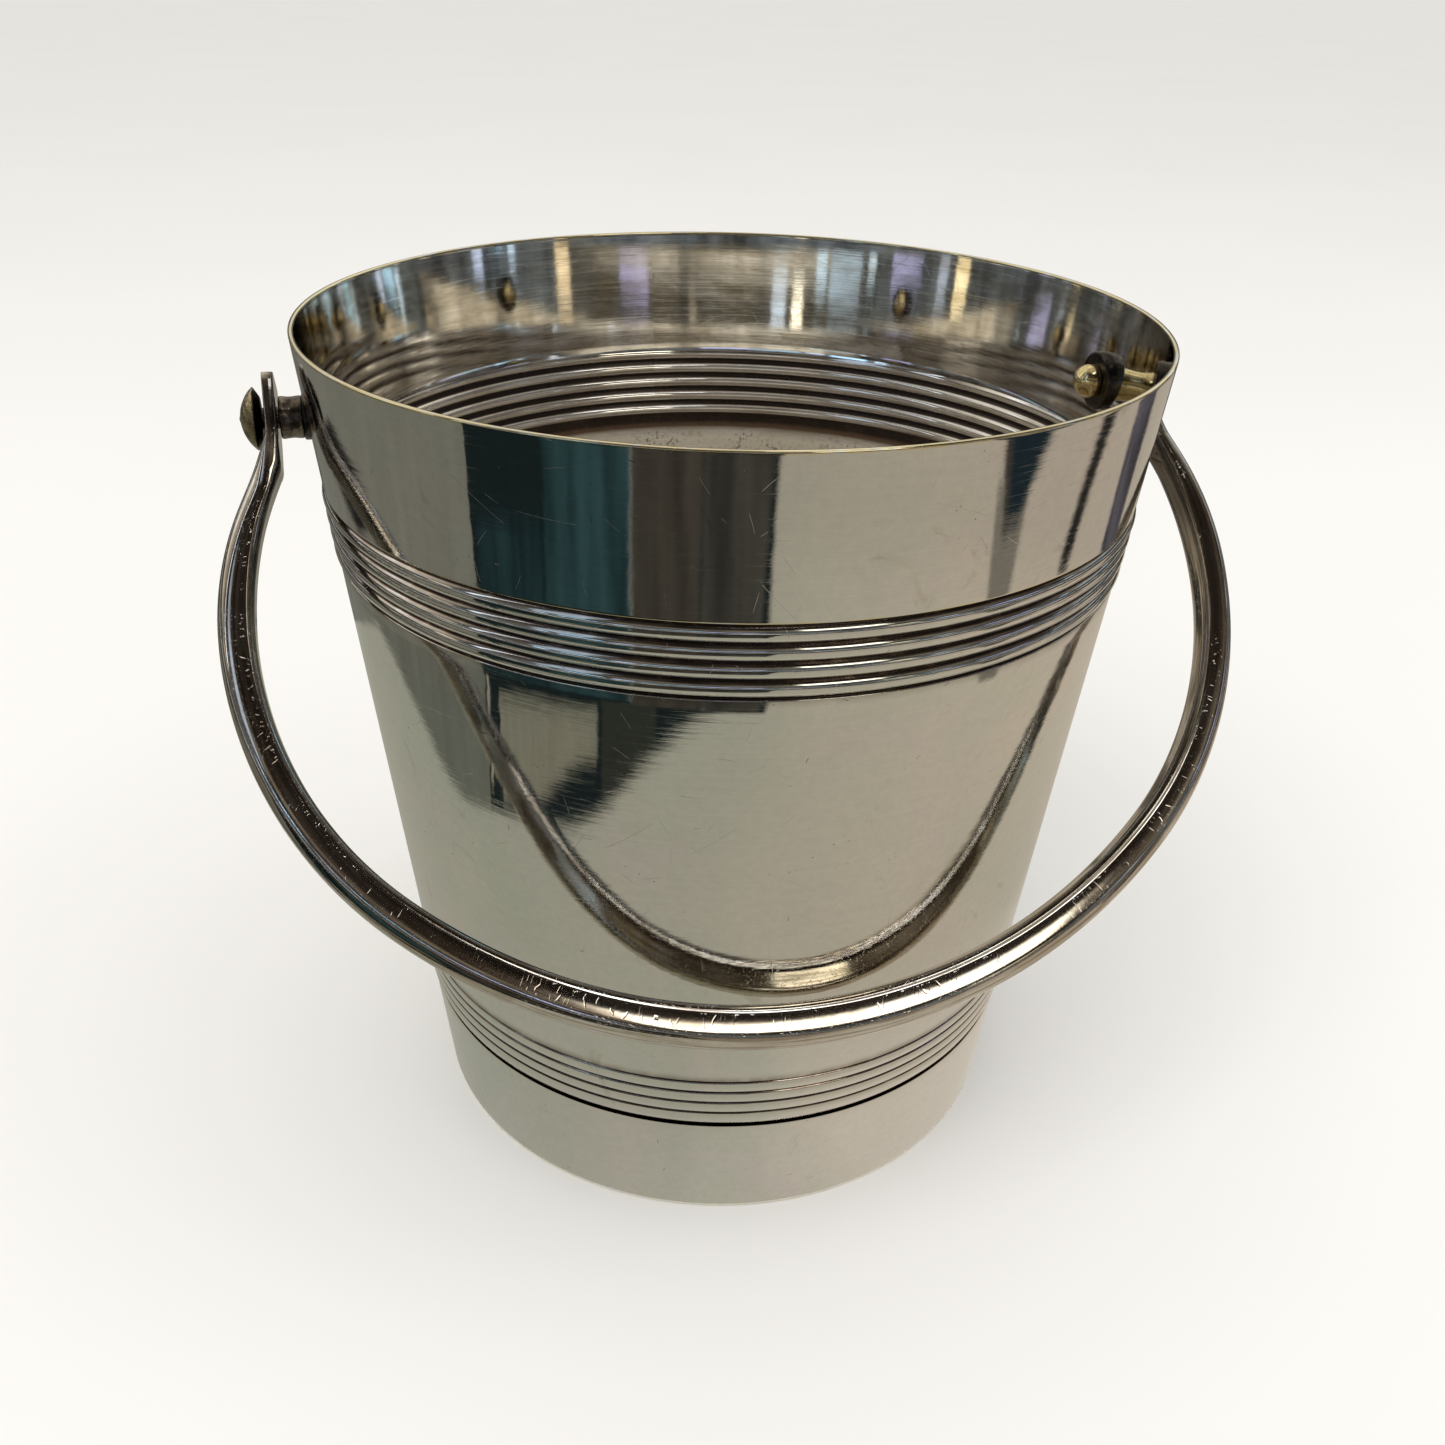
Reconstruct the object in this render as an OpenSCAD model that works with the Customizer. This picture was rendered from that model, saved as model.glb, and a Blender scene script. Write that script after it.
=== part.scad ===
// Silver-plated champagne bucket with a swing handle.
// Millimetres, +Z up, the foot stands on z = 0 and the handle turns about an
// axis along X. At rest the handle hangs forward, to -Y, on the front wall.

/* [Bucket] */
// Height from the table to the rim
body_h = 207; // [170:1:240]
// Outside radius of the rim
rim_r = 100; // [92:1:104]
// Outside radius of the foot where it stands
base_r = 78; // [70:1:80]
// Thickness of the spun wall
wall = 1.2; // [1:0.1:1.5]
// Height of the foot ring, up to the dark seam
foot_h = 31; // [26:1:34]
// Width of the seam between the foot ring and the bucket
seam_w = 1.2; // [0.6:0.1:1.6]
// Thickness of the bucket's floor
floor_t = 1.5; // [1.2:0.1:2.5]

/* [Reeded bands] */
// Height of the middle of the upper band
upper_mid = 164; // [150:1:168]
// Spacing of the four reeds of the upper band
upper_pitch = 4.1; // [3.8:0.1:4.2]
// How far the upper reeds stand out from the wall
upper_proud = 0.6; // [0.3:0.1:0.8]
// Spacing of the four reeds of the lower band
lower_pitch = 3.6; // [3:0.1:3.8]
// How far the lower reeds stand out from the wall
lower_proud = 0.3; // [0.2:0.1:0.5]

/* [Pivots] */
// Height of the handle's pivot axis
pivot_z = 187; // [182:1:190]
// Diameter of the pivot pins
pin_d = 5; // [4:0.5:6]
// Radial running clearance of the handle on its pins
pin_play = 0.05; // [0.03:0.01:0.09]
// Diameter of the domed outer heads
head_d = 14; // [12:0.2:14.2]
// Height of the domed outer heads
head_h = 3.7; // [3:0.1:4.2]
// Diameter of the spacer collars
collar_d = 9.4; // [8:0.2:9.6]
// Diameter of the domed nuts inside
nut_d = 8.4; // [7:0.2:8.8]

/* [Handle] */
// Thickness of the flat ears
ear_t = 2.6; // [2:0.1:2.8]
// Diameter of the rounded ears
ear_d = 14; // [13:0.5:16]
// Reach of the ears beyond the pivot axis
ear_top = 8.8; // [7.5:0.1:9.2]
// Width of the handle's section, across the swing plane
bail_w = 8.5; // [7.5:0.1:9]
// Depth of the handle's section at its widest point, inner flat to crown
bail_t = 8; // [7.4:0.1:8.4]
// Lean of the resting handle from straight down
rest_tilt = 39; // [39:0.5:60]

/* [Hidden] */
$fn = 96;
eps = 0.01;
slope = (rim_r - base_r) / body_h;
lean = atan(slope);
// seats on the wall at the pivot height, measured along X from the axis
wall_x = base_r + slope * pivot_z;
seat_x = wall_x + 1.05;
ear_gap = 0.4;
ear_x0 = 104.3;
ear_x1 = ear_x0 + ear_t;
ear_corner = 2.6;
collar_x1 = ear_x0 - ear_gap;
head_gap = 1.9;
head_x0 = ear_x1 + head_gap;
inner_seat_x = wall_x - wall - 2;
flange_d = 10.2;
inner_flange_d = 14.4;
nut_h = 1.2 + nut_d / 2;
bore_r = pin_d / 2 + pin_play;
// floor and seam
floor_z = foot_h + seam_w;
lip = 1.6;
// upper reeds: circles whose middles lie inside the wall line
reed_r = 2.15;
reed_in = reed_r - upper_proud;
reed_hollow = 1.05;
// handle centre lines in its own plane: x out from the middle, d down
// from the pivot axis
side_x = 120.6;
side_d = 50;
leg_r = 71.2;
leg_in_r = 88;
leg_a = 25;
// straight run from the end of the leg's arc to the ear's outer face
leg_run = (side_x - leg_r + leg_r * cos(leg_a) - ear_x1) / sin(leg_a);
flank_r = 91;
flank_in_r = 80.3;
drop = 152.4;
in_drop = 142.5;
// angle at which a flank arc meets the arc of the sweep, for an arc of that
// radius and a sweep that far down
function meet_a(r, x, far) = 90 - 2 * atan((far - side_d - r) / (x - r));
flank_a = meet_a(flank_r, side_x, drop);
flank_in_a = meet_a(flank_in_r, side_x - bail_t, in_drop);
sweep_r = flank_r + (side_x - flank_r) / cos(flank_a);
sweep_in_r = flank_in_r + (side_x - bail_t - flank_in_r) / cos(flank_in_a);
crown_r = bail_w / 2;
step = 0.03;

function wall_r(z) = base_r + slope * z;

// local frame on the wall line: x straight out of the wall, y up along it
module on_wall(z) {
  translate([wall_r(z), z])
    rotate(-lean)
      children();
}

// the cone of the outside wall and, with an inset, of the inside wall
module wall_cone(inset = 0) {
  cylinder(h = body_h, r1 = base_r - inset, r2 = rim_r - inset, $fn = 180);
}

module shell_wall_2d() {
  z0 = floor_z;
  z1 = body_h;
  polygon([
    [wall_r(z0), z0],
    [wall_r(z1 - 0.3), z1 - 0.3],
    [wall_r(z1) - 0.35, z1],
    [wall_r(z1) - wall + 0.35, z1],
    [wall_r(z1) - wall, z1 - 0.3],
    [wall_r(z0 + floor_t) - wall, z0 + floor_t],
    [0, z0 + floor_t],
    [0, z0]
  ]);
}

// four bold half-round reeds pressed outwards, so the inside shows them too
module upper_reeds_2d() {
  for (i = [0:3]) {
    on_wall(upper_mid)
      translate([-reed_in, (i - 1.5) * upper_pitch])
        intersection() {
          circle(r = reed_r);
          translate([-0.55, -reed_r])
            square([2 * reed_r, 2 * reed_r]);
        }
  }
}

module upper_hollows_2d() {
  for (i = [0:3]) {
    on_wall(upper_mid)
      translate([-reed_in, (i - 1.5) * upper_pitch])
        circle(r = reed_hollow);
  }
}

// the sharp steps above and below the bold reeds
module upper_nicks_2d() {
  for (s = [-1, 1]) {
    on_wall(upper_mid)
      translate([0.1, s * 2 * upper_pitch])
        circle(r = 0.75, $fn = 32);
  }
}

// a flat-bowed reed, drawn as a thin slice of a large circle
module flat_reed_2d() {
  bow_r = (lower_pitch * lower_pitch / 4 + lower_proud * lower_proud)
    / (2 * lower_proud);
  intersection() {
    translate([lower_proud - bow_r, 0])
      circle(r = bow_r);
    translate([-0.6, -lower_pitch / 2])
      square([2, lower_pitch]);
  }
}

module lower_reeds_2d() {
  for (i = [0:3]) {
    on_wall(floor_z)
      translate([0, (i + 0.5) * lower_pitch + 0.3])
        flat_reed_2d();
  }
}

module lower_nicks_2d() {
  for (i = [1:4]) {
    on_wall(floor_z)
      translate([0.1, i * lower_pitch + 0.3])
        circle(r = 0.42, $fn = 24);
  }
}

module shell_2d() {
  difference() {
    union() {
      shell_wall_2d();
      upper_reeds_2d();
      lower_reeds_2d();
    }
    upper_hollows_2d();
    upper_nicks_2d();
    lower_nicks_2d();
  }
}

// along +X at the pivot height
module at_pivot(x) {
  translate([x, 0, pivot_z])
    rotate([0, 90, 0])
      children();
}

module left_side() {
  mirror([1, 0, 0])
    children();
}

module bucket_shell() {
  color("silver")
    difference() {
      rotate_extrude($fn = 180)
        shell_2d();
      at_pivot(wall_x - 10)
        cylinder(h = 20, r = bore_r, $fn = 48);
      left_side()
        at_pivot(wall_x - 10)
          cylinder(h = 20, r = bore_r, $fn = 48);
    }
}

// plain skirt below the seam, with a lip that carries the floor
module foot_ring() {
  color("gainsboro")
    rotate_extrude($fn = 180)
      polygon([
        [wall_r(0), 0],
        [wall_r(foot_h), foot_h],
        [wall_r(foot_h) - lip, foot_h],
        [wall_r(foot_h) - lip, floor_z],
        [wall_r(foot_h) - lip - wall, floor_z],
        [wall_r(foot_h) - lip - wall, foot_h - 1.2],
        [wall_r(foot_h - 3) - wall, foot_h - 3],
        [wall_r(0) - wall, 0]
      ]);
}

// mushroom head outside, shank through collar, wall and nut
module pin() {
  edge = 0.5;
  cap_h = head_h - edge;
  cap_w = head_d / 2 - 0.15;
  cap_r = (cap_w * cap_w + cap_h * cap_h) / (2 * cap_h);
  shank_l = head_x0 - inner_seat_x + 2.6;
  at_pivot(inner_seat_x - 2.6)
    rotate_extrude($fn = 96) {
      square([pin_d / 2, shank_l + 1]);
      translate([0, shank_l])
        square([head_d / 2, edge]);
      intersection() {
        translate([0, shank_l + head_h - cap_r])
          circle(r = cap_r, $fn = 180);
        translate([0, shank_l + edge])
          square([cap_w + 0.01, head_h]);
      }
    }
}

module collar() {
  at_pivot(seat_x)
    difference() {
      cylinder(h = collar_x1 - seat_x, d = collar_d, $fn = 64);
      translate([0, 0, -1])
        cylinder(h = 20, r = bore_r, $fn = 48);
    }
}

// saddle washer: flat outside, hollowed to sit on the sloping wall
module outer_washer() {
  difference() {
    at_pivot(wall_x - 4)
      cylinder(h = seat_x - wall_x + 4, d = flange_d, $fn = 64);
    wall_cone();
    at_pivot(wall_x - 10)
      cylinder(h = 20, r = bore_r, $fn = 48);
  }
}

module inner_washer() {
  difference() {
    intersection() {
      at_pivot(inner_seat_x)
        cylinder(h = 6, d = inner_flange_d, $fn = 64);
      wall_cone(wall);
    }
    at_pivot(wall_x - 10)
      cylinder(h = 20, r = bore_r, $fn = 48);
  }
}

module dome_nut() {
  at_pivot(inner_seat_x - nut_h)
    rotate_extrude($fn = 96)
      difference() {
        union() {
          intersection() {
            translate([0, nut_d / 2])
              circle(d = nut_d, $fn = 96);
            square([nut_d, nut_d / 2]);
          }
          translate([0, nut_d / 2])
            square([nut_d / 2, 1.2]);
        }
        translate([0, nut_h - 2.6])
          square([pin_d / 2, 10]);
      }
}

module pivot_pin_right() {
  color("darkkhaki")
    pin();
}

module pivot_pin_left() {
  color("darkkhaki")
    left_side()
      pin();
}

module collar_right() {
  color("dimgray")
    collar();
}

module collar_left() {
  color("dimgray")
    left_side()
      collar();
}

module outer_washer_right() {
  color("slategray")
    outer_washer();
}

module outer_washer_left() {
  color("slategray")
    left_side()
      outer_washer();
}

module inner_washer_right() {
  color("darkslategray")
    inner_washer();
}

module inner_washer_left() {
  color("darkslategray")
    left_side()
      inner_washer();
}

module dome_nut_right() {
  color("gold")
    dome_nut();
}

module dome_nut_left() {
  color("gold")
    left_side()
      dome_nut();
}

// half-round section: flat side at r_crown - depth, crown at r_crown. The
// inset shrinks it all round, so that an arc can end inside its neighbour
module bail_section(r_crown, depth, inset = 0) {
  translate([r_crown - crown_r, 0])
    circle(r = crown_r - inset, $fn = 64);
  translate([r_crown - depth + inset, inset - crown_r])
    square([depth - crown_r - inset, bail_w - 2 * inset]);
}

// turns a rotate_extrude about Z into one about an axis along Y, so that its
// angle runs from +X towards straight down
module swing_plane(x, d) {
  translate([x, 0, -d])
    rotate([-90, 0, 0])
      children();
}

module bail_side() {
  // leg: crown arc that runs on straight to the ear, with its inner side
  // thinned towards the ear and cut flush with the ear's inner face
  difference() {
    swing_plane(side_x - leg_r, side_d)
      rotate([0, 0, -leg_a]) {
        rotate_extrude(angle = leg_a + 0.5, $fn = 180)
          bail_section(leg_r, bail_t + 4, step);
        rotate([90, 0, 0])
          translate([0, 0, -0.5])
            linear_extrude(leg_run + 0.5)
              bail_section(leg_r, bail_t + 4, 2 * step);
      }
    swing_plane(side_x - bail_t - leg_in_r, side_d)
      translate([0, 0, -10])
        cylinder(h = 20, r = leg_in_r + step, $fn = 360);
    translate([ear_x0 + step - 20, -10, -25])
      cube([20, 20, 30]);
  }
  // flank, a little deeper towards the sweep
  difference() {
    swing_plane(side_x - flank_r, side_d)
      rotate_extrude(angle = flank_a, $fn = 180)
        bail_section(flank_r, bail_t + 6);
    swing_plane(side_x - bail_t - flank_in_r, side_d)
      translate([0, 0, -10])
        cylinder(h = 20, r = flank_in_r, $fn = 360);
  }
  // flat ear with a squared top, its tab and the bend under it
  translate([ear_x0, 0, 0])
    rotate([0, 90, 0])
      cylinder(h = ear_t, d = ear_d, $fn = 64);
  translate([ear_x0, -ear_d / 2, 0])
    cube([ear_t, ear_d, ear_top - ear_corner]);
  translate([ear_x0, ear_corner - ear_d / 2, 0])
    cube([ear_t, ear_d - 2 * ear_corner, ear_top]);
  for (side = [-1, 1])
    translate([ear_x0, side * (ear_d / 2 - ear_corner), ear_top - ear_corner])
      rotate([0, 90, 0])
        cylinder(h = ear_t, r = ear_corner, $fn = 48);
  translate([ear_x0, -ear_d * 0.42, -9.2])
    cube([ear_t, ear_d * 0.84, 9.2]);
  translate([ear_x0 + ear_t / 2, 0, -9.2])
    rotate([90, 0, 0])
      cylinder(h = ear_d * 0.62, r = ear_t / 2, center = true, $fn = 48);
}

// the sweep across the bottom, deepest in the middle
module sweep() {
  difference() {
    swing_plane(0, drop - sweep_r)
      rotate([0, 0, flank_a - 0.4])
        rotate_extrude(angle = 180.8 - 2 * flank_a, $fn = 360)
          bail_section(sweep_r, bail_t + 6, step);
    swing_plane(0, in_drop - sweep_in_r)
      translate([0, 0, -10])
        cylinder(h = 20, r = sweep_in_r + step, $fn = 720);
  }
}

module bail_handle() {
  color("silver")
    translate([0, 0, pivot_z])
      rotate([-rest_tilt, 0, 0])
        difference() {
          union() {
            bail_side();
            left_side()
              bail_side();
            sweep();
          }
          translate([-150, 0, 0])
            rotate([0, 90, 0])
              cylinder(h = 300, r = bore_r, $fn = 48);
        }
}

bucket_shell();
foot_ring();
bail_handle();
pivot_pin_left();
pivot_pin_right();
collar_left();
collar_right();
outer_washer_left();
outer_washer_right();
inner_washer_left();
inner_washer_right();
dome_nut_left();
dome_nut_right();
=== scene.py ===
import math

import bmesh
import bpy
from mathutils import Matrix, Vector, noise


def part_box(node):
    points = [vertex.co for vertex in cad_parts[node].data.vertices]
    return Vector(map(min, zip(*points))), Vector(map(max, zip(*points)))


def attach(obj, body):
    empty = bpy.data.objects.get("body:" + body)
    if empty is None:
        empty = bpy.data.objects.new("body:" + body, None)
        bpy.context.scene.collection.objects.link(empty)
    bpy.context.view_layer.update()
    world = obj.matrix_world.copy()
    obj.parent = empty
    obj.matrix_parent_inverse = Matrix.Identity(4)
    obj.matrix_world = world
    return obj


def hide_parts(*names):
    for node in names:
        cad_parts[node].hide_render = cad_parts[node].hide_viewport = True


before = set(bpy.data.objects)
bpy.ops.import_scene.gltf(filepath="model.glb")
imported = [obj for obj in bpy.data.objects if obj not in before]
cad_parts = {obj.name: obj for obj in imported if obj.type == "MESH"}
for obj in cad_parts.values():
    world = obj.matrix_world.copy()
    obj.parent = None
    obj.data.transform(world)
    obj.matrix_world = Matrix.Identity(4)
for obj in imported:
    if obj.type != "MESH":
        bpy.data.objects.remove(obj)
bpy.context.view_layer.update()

MM = 0.001


# ---------------------------------------------------------------- sizes

def box_mm(node):
    low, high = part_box(node)
    return low / MM, high / MM


SHELL_LOW, SHELL_HIGH = box_mm("bucket_shell")
FOOT_HIGH = box_mm("foot_ring")[1]
PIN_LOW, PIN_HIGH = box_mm("pivot_pin_right")
COLLAR_LOW, COLLAR_HIGH = box_mm("collar_right")
SADDLE_BOX = box_mm("outer_washer_right")
BACKING_BOX = box_mm("inner_washer_right")
NUT_LOW, NUT_HIGH = box_mm("dome_nut_right")
HANDLE_HIGH = box_mm("bail_handle")[1]

# the straight cone of the outside wall
SEAM = 1.2  # width of the gap above the foot, painted dark as shade
RIM_EDGE = 0.3  # height of the rim's eased outer edge in the CAD
WALL = 1.2
RIM_Z = SHELL_HIGH.z
SHELL_Z = SHELL_LOW.z
FOOT_Z = SHELL_Z - SEAM
SLOPE = (SHELL_HIGH.x - FOOT_HIGH.x) / (RIM_Z - RIM_EDGE - FOOT_Z)
LEAN = math.atan(SLOPE)
ALONG_WALL = 1 / math.cos(LEAN)  # length along the wall for each mm of height
BASE_R = FOOT_HIGH.x - SLOPE * FOOT_Z
FLOOR_T = 1.5
ROUND_STEPS = 240  # points round the bucket
FOOT_STEPS = 288

# upper band: half-round reeds with tight grooves between them
UPPER_MID = 164.0
UPPER_PITCH = 4.1
UPPER_PROUD = 0.6
REED_R = 2.15
REED_IN = REED_R - UPPER_PROUD  # how far a reed's centre lies inside the wall line
GROOVE_R = 0.3
GROOVE_N = math.sqrt((REED_R + GROOVE_R) ** 2 - (UPPER_PITCH / 2) ** 2) - REED_IN
REED_A = math.degrees(math.asin(UPPER_PITCH / 2 / (REED_R + GROOVE_R)))
# the eased edges of the sharp steps above and below the band
CORNER_R = 0.3
CORNER_A = 80
# the same band inside: ridges behind the grooves, valleys behind the reeds
RIDGE_R = GROOVE_R + WALL
VALLEY_R = REED_R - WALL
RIDGE_OUT = 35  # angle at which the end ridges leave for the wall
RIDGE_EASE = 2.6  # length over which they do
RIDGE_END = 2 * UPPER_PITCH + RIDGE_R * math.sin(math.radians(RIDGE_OUT))

# lower band: shallow reeds with fine cut lines
LOWER_PITCH = 3.6
LOWER_PROUD = 0.3
CUT_W = 0.28
CUT_DEPTHS = [0.16, 0.2, 0.42, 0.5]

# pivots
PIVOT_Z = (PIN_LOW.z + PIN_HIGH.z) / 2
PIN_R = 2.5
BORE_R = 2.55
HEAD_R = (PIN_HIGH.z - PIN_LOW.z) / 2
COLLAR_R = (COLLAR_HIGH.z - COLLAR_LOW.z) / 2
NUT_R = (NUT_HIGH.z - NUT_LOW.z) / 2

# handle, in its own plane: x out from the middle, d down from the pivot axis.
# Each side is a leg, a flank that is widest at SIDE_D, and half of a sweep
# across the bottom, all arcs, and the inner face has arcs of its own.
REST_TILT = math.radians(39)
SIDE_X = HANDLE_HIGH.x
SIDE_D = 50.0
LEG_R = 71.2
LEG_INNER_R = 88.0
LEG_BEND = 25.0
LEG_STEPS = 20
FLANK_R = 91.0
FLANK_INNER_R = 80.3
FLANK_STEPS = 44
DROP = 152.4
INNER_DROP = 142.5
SWEEP_STEPS = 52
BAIL_T = 8.0  # depth at the sides, from the inner flat to the crown
BAIL_HALF_W = 4.25
BAIL_GIRTH = 28.0  # length of the UV map round the bar
EAR_HALF_W = 7.0
EAR_TOP = 8.8
EAR_CORNER = 2.6
EAR_T = 2.6
EAR_X = 106.9  # the ear's outer face
HEAD_GAP = 1.9
HEAD_H = PIN_HIGH.x - EAR_X - HEAD_GAP

# the camera, placed from the bucket's own axis
VIEW_TURN = 14.5
VIEW_DISTANCE = 333.7
VIEW_HEIGHT = 284.68
VIEW_DOWN = 29.24
VIEW_ROLL = 1.66
SENSOR = 36.0
LENS = 35.335


def wall_r(z):
    return BASE_R + SLOPE * z


# ---------------------------------------------------------------- mesh tools

def make_piece(name, points, faces, marks=None, uvs=None, sharp=35):
    """A mesh piece from points in millimetres, with its faces outwards. marks
    are per-point floats, uvs are one (u, v) in millimetres for each face corner,
    and edges that turn by more than sharp degrees stay sharp."""
    mesh = bpy.data.meshes.new(name)
    mesh.from_pydata([Vector(p) * MM for p in points], [], faces)
    mesh.validate()
    for mark, values in (marks or {}).items():
        layer = mesh.attributes.new(mark, "FLOAT", "POINT")
        layer.data.foreach_set("value", values)
    if uvs:
        layer = mesh.uv_layers.new(name="along")
        layer.data.foreach_set("uv", [c * MM for uv in uvs for c in uv])
    outwards = bmesh.new()
    outwards.from_mesh(mesh)
    bmesh.ops.recalc_face_normals(outwards, faces=outwards.faces)
    outwards.to_mesh(mesh)
    outwards.free()
    mesh.polygons.foreach_set("use_smooth", [True] * len(mesh.polygons))
    mesh.set_sharp_from_angle(angle=math.radians(sharp))
    piece = bpy.data.objects.new(name, mesh)
    bpy.context.collection.objects.link(piece)
    return piece


def spin(name, outline, turns, to_place, marks=None, shape=None, closed=True, sharp=35):
    """Spins an outline of (radius, height) points round an axis. Points of no
    radius become poles. to_place puts a local point into the frame, and shape
    may move a local point first. Its UV map "along" runs round and then along
    the outline."""
    points, rings, values = [], [], {mark: [] for mark in marks or {}}
    run = [0.0]
    for a, b in zip(outline, outline[1:] + outline[:1]):
        run.append(run[-1] + math.dist(a, b))
    round_r = max(radius for radius, height in outline)
    for index, (radius, height) in enumerate(outline):
        count = 1 if radius < 1e-6 else turns
        ring = []
        for k in range(count):
            angle = 2 * math.pi * k / turns
            local = Vector((-radius * math.sin(angle), radius * math.cos(angle), height))
            if shape:
                local = shape(local, index)
            ring.append(len(points))
            points.append(to_place(local))
            for mark in values:
                values[mark].append(marks[mark][index])
        rings.append(ring)
    faces, uvs = [], []
    pairs = list(zip(rings, rings[1:]))
    if closed:
        pairs.append((rings[-1], rings[0]))
    for row, (low, high) in enumerate(pairs):
        bottom, top = run[row], run[row + 1]
        for k in range(turns):
            n = (k + 1) % turns
            u, next_u = (2 * math.pi * round_r * step / turns for step in (k, k + 1))
            if len(low) == 1 and len(high) == 1:
                continue
            if len(low) == 1:
                faces.append((low[0], high[n], high[k]))
                uvs += [(u, bottom), (next_u, top), (u, top)]
            elif len(high) == 1:
                faces.append((low[k], low[n], high[0]))
                uvs += [(u, bottom), (next_u, bottom), (u, top)]
            else:
                faces.append((low[k], low[n], high[n], high[k]))
                uvs += [(u, bottom), (next_u, bottom), (next_u, top), (u, top)]
    return make_piece(name, points, faces, values, uvs, sharp)


def arc(centre, radius, start, end, steps):
    """Points of a circle's arc, with angles in degrees from the first axis."""
    made = []
    for k in range(steps + 1):
        angle = math.radians(start + (end - start) * k / steps)
        made.append((centre[0] + radius * math.cos(angle), centre[1] + radius * math.sin(angle)))
    return made


def ease(t):
    t = min(1.0, max(0.0, t))
    return t * t * (3 - 2 * t)


def blend(a, b, t):
    return a + (b - a) * t


def upright(local):
    return local


def on_pivot(x, side):
    """Puts a local point, Z along the pivot axis outwards, into the frame."""
    def place(local):
        return Vector((side * (x + local.z), side * local.y, PIVOT_Z + local.x))
    return place


def drill(piece, radius, from_x, to_x, sharp):
    """Cuts a round hole along X at the pivot height. Edges that turn by more
    than sharp degrees stay sharp."""
    middle = (from_x + to_x) / 2
    reach = abs(to_x - from_x) / 2
    outline = [(0, -reach), (radius, -reach), (radius, reach), (0, reach)]
    cutter = spin("cutter", outline, 48, on_pivot(middle, 1), closed=False)
    cut = piece.modifiers.new("bore", "BOOLEAN")
    cut.object = cutter
    cut.operation = "DIFFERENCE"
    cut.solver = "EXACT"
    graph = bpy.context.evaluated_depsgraph_get()
    mesh = bpy.data.meshes.new_from_object(piece.evaluated_get(graph))
    mesh.set_sharp_from_angle(angle=math.radians(sharp))
    piece.modifiers.clear()
    piece.data = mesh
    bpy.data.objects.remove(cutter)


# ---------------------------------------------------------------- bucket

class Outline:
    """Collects (radius, height) points with their wear, darkening and inside marks; the darkening is
    tarnish in the hollows and, in places, painted shade.
    Local points are (n, s): n out of the wall line and s up along it."""

    def __init__(self):
        self.points = []
        self.marks = {"wear": [], "grime_and_shade": [], "inside": []}
        self.inside = 0.0

    def add(self, point, wear=0.0, grime_and_shade=0.0):
        self.points.append(point)
        self.marks["wear"].append(wear)
        self.marks["grime_and_shade"].append(grime_and_shade)
        self.marks["inside"].append(self.inside)

    def on_wall(self, z, n, s, wear=0.0, grime_and_shade=0.0):
        r = wall_r(z) + n * math.cos(LEAN) + s * math.sin(LEAN)
        h = z - n * math.sin(LEAN) + s * math.cos(LEAN)
        self.add((r, h), wear, grime_and_shade)

    def follow(self, path, wear, grime_and_shade):
        for n, s in path:
            self.on_wall(UPPER_MID, n, s, wear, grime_and_shade)

    def straight(self, z, n, s_from, s_to, step=3.0):
        count = max(1, round(abs(s_to - s_from) / step))
        for k in range(1, count):
            self.on_wall(z, n, blend(s_from, s_to, k / count))


def outer_band(line):
    """Four half-round reeds with tight grooves, and a sharp step at each end."""
    groove = (GROOVE_N, -2 * UPPER_PITCH)
    corner_s = groove[1] - (GROOVE_R + CORNER_R) * math.sin(math.radians(CORNER_A))
    line.follow(arc((-CORNER_R, corner_s), CORNER_R, 0, CORNER_A, 4), 0.45, 0.2)
    line.follow(arc(groove, GROOVE_R, 180 + CORNER_A, 180 - REED_A, 7), 0, 1)
    for reed in range(4):
        middle = (reed - 1.5) * UPPER_PITCH
        reed_arc = arc((-REED_IN, middle), REED_R, -REED_A, REED_A, 16)
        # the upper side of each reed is painted darker: a painted reflection of the dark room
        for k, (n, s) in enumerate(reed_arc[1:-1]):
            gold = 0.75 if k == 1 else 0.0
            line.on_wall(UPPER_MID, n, s, gold, 0.25 * ease((k - 8) / 6))
        groove = (GROOVE_N, middle + UPPER_PITCH / 2)
        if reed < 3:
            line.follow(arc(groove, GROOVE_R, 180 + REED_A, 180 - REED_A, 6), 0, 1)
    line.follow(arc(groove, GROOVE_R, 180 + REED_A, 180 - CORNER_A, 7), 0, 1)
    line.follow(arc((-CORNER_R, -corner_s), CORNER_R, -CORNER_A, 0, 4), 0.9, 0)


def inner_band(line):
    """The same pressed sheet seen from inside, from the top down: five ridges
    behind the grooves, with narrow valleys behind the reeds."""
    def run_out(side):
        """From the end ridge out to the plain wall, up or down."""
        n_end = GROOVE_N - RIDGE_R * math.cos(math.radians(RIDGE_OUT))
        steps = [k / 8 for k in range(1, 9)]
        return [(blend(n_end, -WALL, 1 - (1 - t) ** 2), side * RIDGE_END + side * t * RIDGE_EASE)
                for t in steps]

    line.follow(reversed(run_out(1)), 0, 0.1)
    for ridge in range(5):
        middle = (2 - ridge) * UPPER_PITCH
        top = RIDGE_OUT if ridge == 0 else REED_A
        low = RIDGE_OUT if ridge == 4 else REED_A
        line.follow(arc((GROOVE_N, middle), RIDGE_R, 180 - top, 180 + low, 12), 0, 0.15)
        if ridge < 4:
            valley = (-REED_IN, middle - UPPER_PITCH / 2)
            line.follow(arc(valley, VALLEY_R, REED_A, -REED_A, 8)[1:-1], 0, 1)
    # the run-out below the lowest ridge is painted dark: painted shade under the ridge
    line.follow(run_out(-1), 0, 0.9)


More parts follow.
